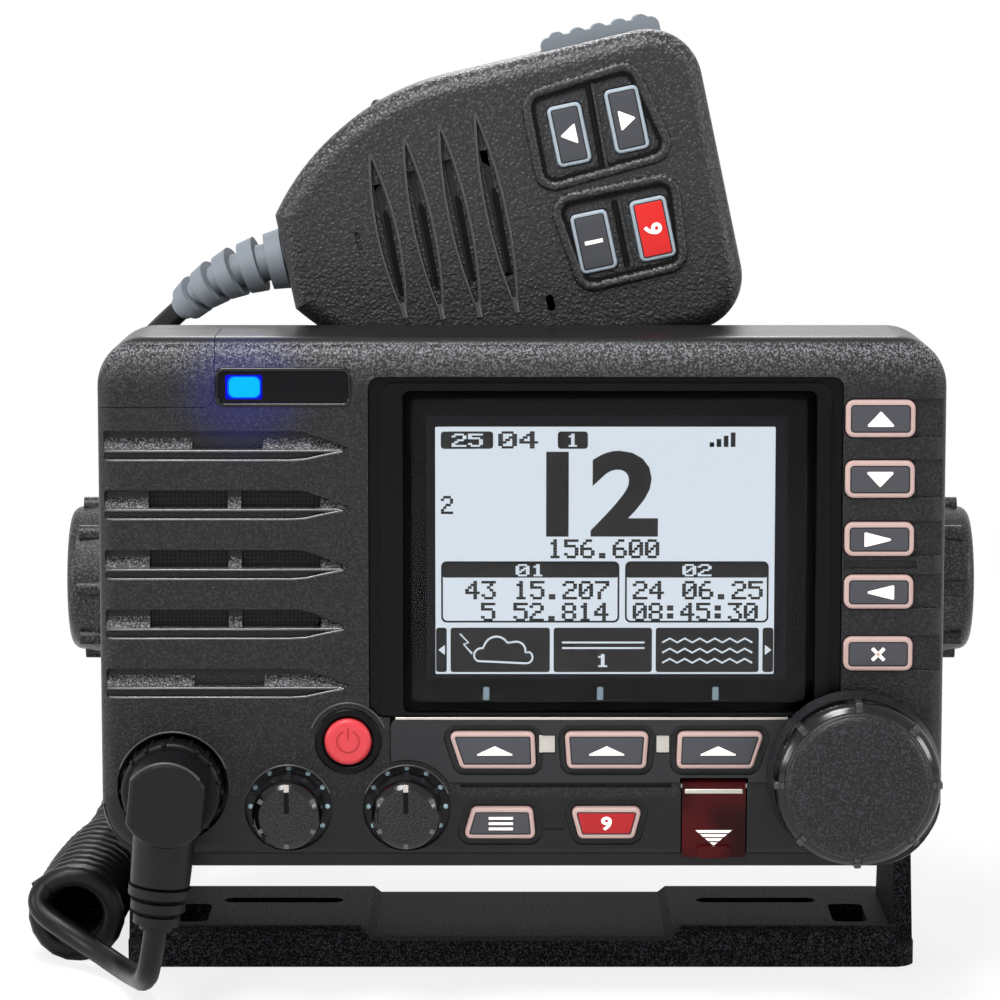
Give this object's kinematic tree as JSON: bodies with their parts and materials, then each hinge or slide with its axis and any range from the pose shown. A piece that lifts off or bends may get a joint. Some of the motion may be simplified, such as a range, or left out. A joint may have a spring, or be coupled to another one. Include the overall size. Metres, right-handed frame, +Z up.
{
  "type": "vhf marine radio",
  "caption": "Fixed-mount VHF marine radio on a tilting bracket, with rotary selector, keys, guarded distress button and a hand microphone on a curly cord.",
  "frame": {"origin": "centre of the bracket's mounting face, where it meets the dash or shelf", "axes": "+X to the right of someone facing the radio, +Y away from them to the rear, +Z up"},
  "size_m": [0.2137, 0.1727, 0.2123],
  "materials": {
    "housing_black": "moulded ABS, fine spark-eroded texture",
    "bracket_black": "moulded glass-filled nylon, fine texture",
    "diecast_black": "die-cast aluminium with black powder coat",
    "knob_black": "moulded ABS, satin with fine grain",
    "mic_black": "moulded ABS, leather-like grain",
    "key_grey": "silicone key with a pale translucent rim",
    "key_red": "red silicone key",
    "mic_key_grey": "silicone key with a pale bluish rim",
    "mic_key_red": "red silicone key with a pale rim",
    "relief_grey": "grey thermoplastic rubber",
    "flap_red_clear": "clear red acrylic",
    "lens_black": "polished acrylic lens, black printed behind",
    "lcd_glass": "backlit monochrome LCD",
    "cord_black": "polyurethane cord jacket",
    "plug_black": "moulded soft PVC plug",
    "rubber_black": "black silicone rubber",
    "board_green": "glass-epoxy board with solder mask",
    "steel": "stainless steel",
    "nickel": "nickel-plated brass",
    "speaker_black": "coated paper cone in a black frame"
  },
  "bodies": {
    "bracket": {"bracket": "bracket_black", "plug_lead": "cord_black", "curly_cord": "cord_black"},
    "radio": {"antenna_socket": "nickel", "case_screws": "steel", "control_board": "board_green", "corner_cover": "housing_black", "cover_hinge_pin": "steel", "dial_encoder": "steel", "display_frame": "housing_black", "display_lens": "lens_black", "friction_pads": "rubber_black", "front_bezel": "housing_black", "indicator_lens": "lens_black", "keypad_mat": "rubber_black", "knob_potentiometers": "steel", "lcd_module": "lcd_glass", "main_board": "board_green", "mic_lead": "cord_black", "mic_socket": "nickel", "plug_body": "plug_black", "plug_relief": "plug_black", "power_gland": "rubber_black", "rear_chassis": "diecast_black", "rim_gasket": "rubber_black", "soft_key_trim": "housing_black", "speaker_driver": "speaker_black", "speaker_mesh": "steel"},
    "microphone": {"mic_front_shell": "mic_black", "mic_rear_shell": "mic_black", "mic_strain_relief": "relief_grey", "mic_speaker": "speaker_black", "mic_screws": "steel", "mic_hanger_stud": "steel", "mic_board": "board_green"},
    "up_key": {"up_key": "key_grey"},
    "down_key": {"down_key": "key_grey"},
    "right_key": {"right_key": "key_grey"},
    "left_key": {"left_key": "key_grey"},
    "clear_key": {"clear_key": "key_grey"},
    "soft_key_left": {"soft_key_left": "key_grey"},
    "soft_key_middle": {"soft_key_middle": "key_grey"},
    "soft_key_right": {"soft_key_right": "key_grey"},
    "menu_key": {"menu_key": "key_grey"},
    "channel_key": {"channel_key": "key_red"},
    "power_button": {"power_button": "key_red"},
    "distress_button": {"distress_button": "key_red"},
    "mic_left_key": {"mic_left_key": "mic_key_grey"},
    "mic_right_key": {"mic_right_key": "mic_key_grey"},
    "mic_power_key": {"mic_power_key": "mic_key_grey"},
    "mic_channel_key": {"mic_channel_key": "mic_key_red"},
    "squelch_knob": {"squelch_knob": "knob_black"},
    "volume_knob": {"volume_knob": "knob_black"},
    "selector_dial": {"selector_dial": "knob_black"},
    "distress_cover": {"distress_cover": "flap_red_clear"},
    "plug_ring": {"plug_ring": "plug_black"},
    "ptt_key": {"ptt_key": "relief_grey"},
    "clamp_knob_left": {"clamp_knob_left": "bracket_black"},
    "clamp_knob_right": {"clamp_knob_right": "bracket_black"},
    "encoder_shaft": {"encoder_shaft": "steel"}
  },
  "joints": [
    {"name": "radio_tilt", "type": "hinge", "parent": "bracket", "child": "radio", "pos_m": [0, 0, 0.084], "axis": [1, 0, 0], "range_deg": [-25, 10], "deforming": ["plug_lead", "curly_cord", "mic_lead"]},
    {"name": "mic_lift", "type": "slide", "parent": "radio", "child": "microphone", "axis": [0, 0, 1], "range_m": [0, 0.03], "deforming": ["mic_lead"]},
    {"name": "clamp_left_turn", "type": "hinge", "parent": "radio", "child": "clamp_knob_left", "pos_m": [-0.0884, 0, 0.084], "axis": [-1, 0, 0], "range_deg": [0, 360]},
    {"name": "clamp_right_turn", "type": "hinge", "parent": "radio", "child": "clamp_knob_right", "pos_m": [0.0884, 0, 0.084], "axis": [1, 0, 0], "range_deg": [0, 360]},
    {"name": "squelch_knob_turn", "type": "hinge", "parent": "radio", "child": "squelch_knob", "pos_m": [-0.0499, -0.07, 0.0439], "axis": [0, 1, 0], "range_deg": [-150, 150]},
    {"name": "volume_knob_turn", "type": "hinge", "parent": "radio", "child": "volume_knob", "pos_m": [-0.0246, -0.07, 0.0439], "axis": [0, 1, 0], "range_deg": [-150, 150]},
    {"name": "dial_press", "type": "slide", "parent": "radio", "child": "encoder_shaft", "axis": [0, 1, 0], "range_m": [0, 0.0008], "stiffness_N_per_m": 2000, "springref_m": -0.0002},
    {"name": "dial_turn", "type": "hinge", "parent": "encoder_shaft", "child": "selector_dial", "pos_m": [0.0709, -0.07, 0.0512], "axis": [0, 1, 0], "continuous": true},
    {"name": "up_key_press", "type": "slide", "parent": "radio", "child": "up_key", "axis": [0, 1, 0], "range_m": [0, 0.0008], "stiffness_N_per_m": 1500, "springref_m": -0.0002},
    {"name": "down_key_press", "type": "slide", "parent": "radio", "child": "down_key", "axis": [0, 1, 0], "range_m": [0, 0.0008], "stiffness_N_per_m": 1500, "springref_m": -0.0002},
    {"name": "right_key_press", "type": "slide", "parent": "radio", "child": "right_key", "axis": [0, 1, 0], "range_m": [0, 0.0008], "stiffness_N_per_m": 1500, "springref_m": -0.0002},
    {"name": "left_key_press", "type": "slide", "parent": "radio", "child": "left_key", "axis": [0, 1, 0], "range_m": [0, 0.0008], "stiffness_N_per_m": 1500, "springref_m": -0.0002},
    {"name": "clear_key_press", "type": "slide", "parent": "radio", "child": "clear_key", "axis": [0, 1, 0], "range_m": [0, 0.0008], "stiffness_N_per_m": 1500, "springref_m": -0.0002},
    {"name": "soft_key_left_press", "type": "slide", "parent": "radio", "child": "soft_key_left", "axis": [0, 1, 0], "range_m": [0, 0.0008], "stiffness_N_per_m": 1500, "springref_m": -0.0002},
    {"name": "soft_key_middle_press", "type": "slide", "parent": "radio", "child": "soft_key_middle", "axis": [0, 1, 0], "range_m": [0, 0.0008], "stiffness_N_per_m": 1500, "springref_m": -0.0002},
    {"name": "soft_key_right_press", "type": "slide", "parent": "radio", "child": "soft_key_right", "axis": [0, 1, 0], "range_m": [0, 0.0008], "stiffness_N_per_m": 1500, "springref_m": -0.0002},
    {"name": "menu_key_press", "type": "slide", "parent": "radio", "child": "menu_key", "axis": [0, 1, 0], "range_m": [0, 0.0008], "stiffness_N_per_m": 1500, "springref_m": -0.0002},
    {"name": "channel_key_press", "type": "slide", "parent": "radio", "child": "channel_key", "axis": [0, 1, 0], "range_m": [0, 0.0008], "stiffness_N_per_m": 1500, "springref_m": -0.0002},
    {"name": "power_button_press", "type": "slide", "parent": "radio", "child": "power_button", "axis": [0, 1, 0], "range_m": [0, 0.0008], "stiffness_N_per_m": 1500, "springref_m": -0.0002},
    {"name": "distress_button_press", "type": "slide", "parent": "radio", "child": "distress_button", "axis": [0, 1, 0], "range_m": [0, 0.0008], "stiffness_N_per_m": 1500, "springref_m": -0.0002},
    {"name": "distress_cover_open", "type": "hinge", "parent": "radio", "child": "distress_cover", "pos_m": [0.0411, -0.0653, 0.0486], "axis": [-1, 0, 0], "range_deg": [0, 95], "stiffness_Nm_per_rad": 0.004, "springref_deg": -20.05},
    {"name": "plug_ring_turn", "type": "hinge", "parent": "radio", "child": "plug_ring", "pos_m": [-0.0746, -0.066, 0.0484], "axis": [0, 1, 0], "range_deg": [-45, 0]},
    {"name": "mic_left_key_press", "type": "slide", "parent": "microphone", "child": "mic_left_key", "axis": [0, 1, 0], "range_m": [0, 0.0008], "stiffness_N_per_m": 1500, "springref_m": -0.0002},
    {"name": "mic_right_key_press", "type": "slide", "parent": "microphone", "child": "mic_right_key", "axis": [0, 1, 0], "range_m": [0, 0.0008], "stiffness_N_per_m": 1500, "springref_m": -0.0002},
    {"name": "mic_power_key_press", "type": "slide", "parent": "microphone", "child": "mic_power_key", "axis": [0, 1, 0], "range_m": [0, 0.0008], "stiffness_N_per_m": 1500, "springref_m": -0.0002},
    {"name": "mic_channel_key_press", "type": "slide", "parent": "microphone", "child": "mic_channel_key", "axis": [0, 1, 0], "range_m": [0, 0.0008], "stiffness_N_per_m": 1500, "springref_m": -0.0002},
    {"name": "ptt_key_press", "type": "slide", "parent": "microphone", "child": "ptt_key", "axis": [0.2079, 0, -0.9781], "range_m": [0, 0.0016], "stiffness_N_per_m": 1800, "springref_m": -0.0004}
  ]
}
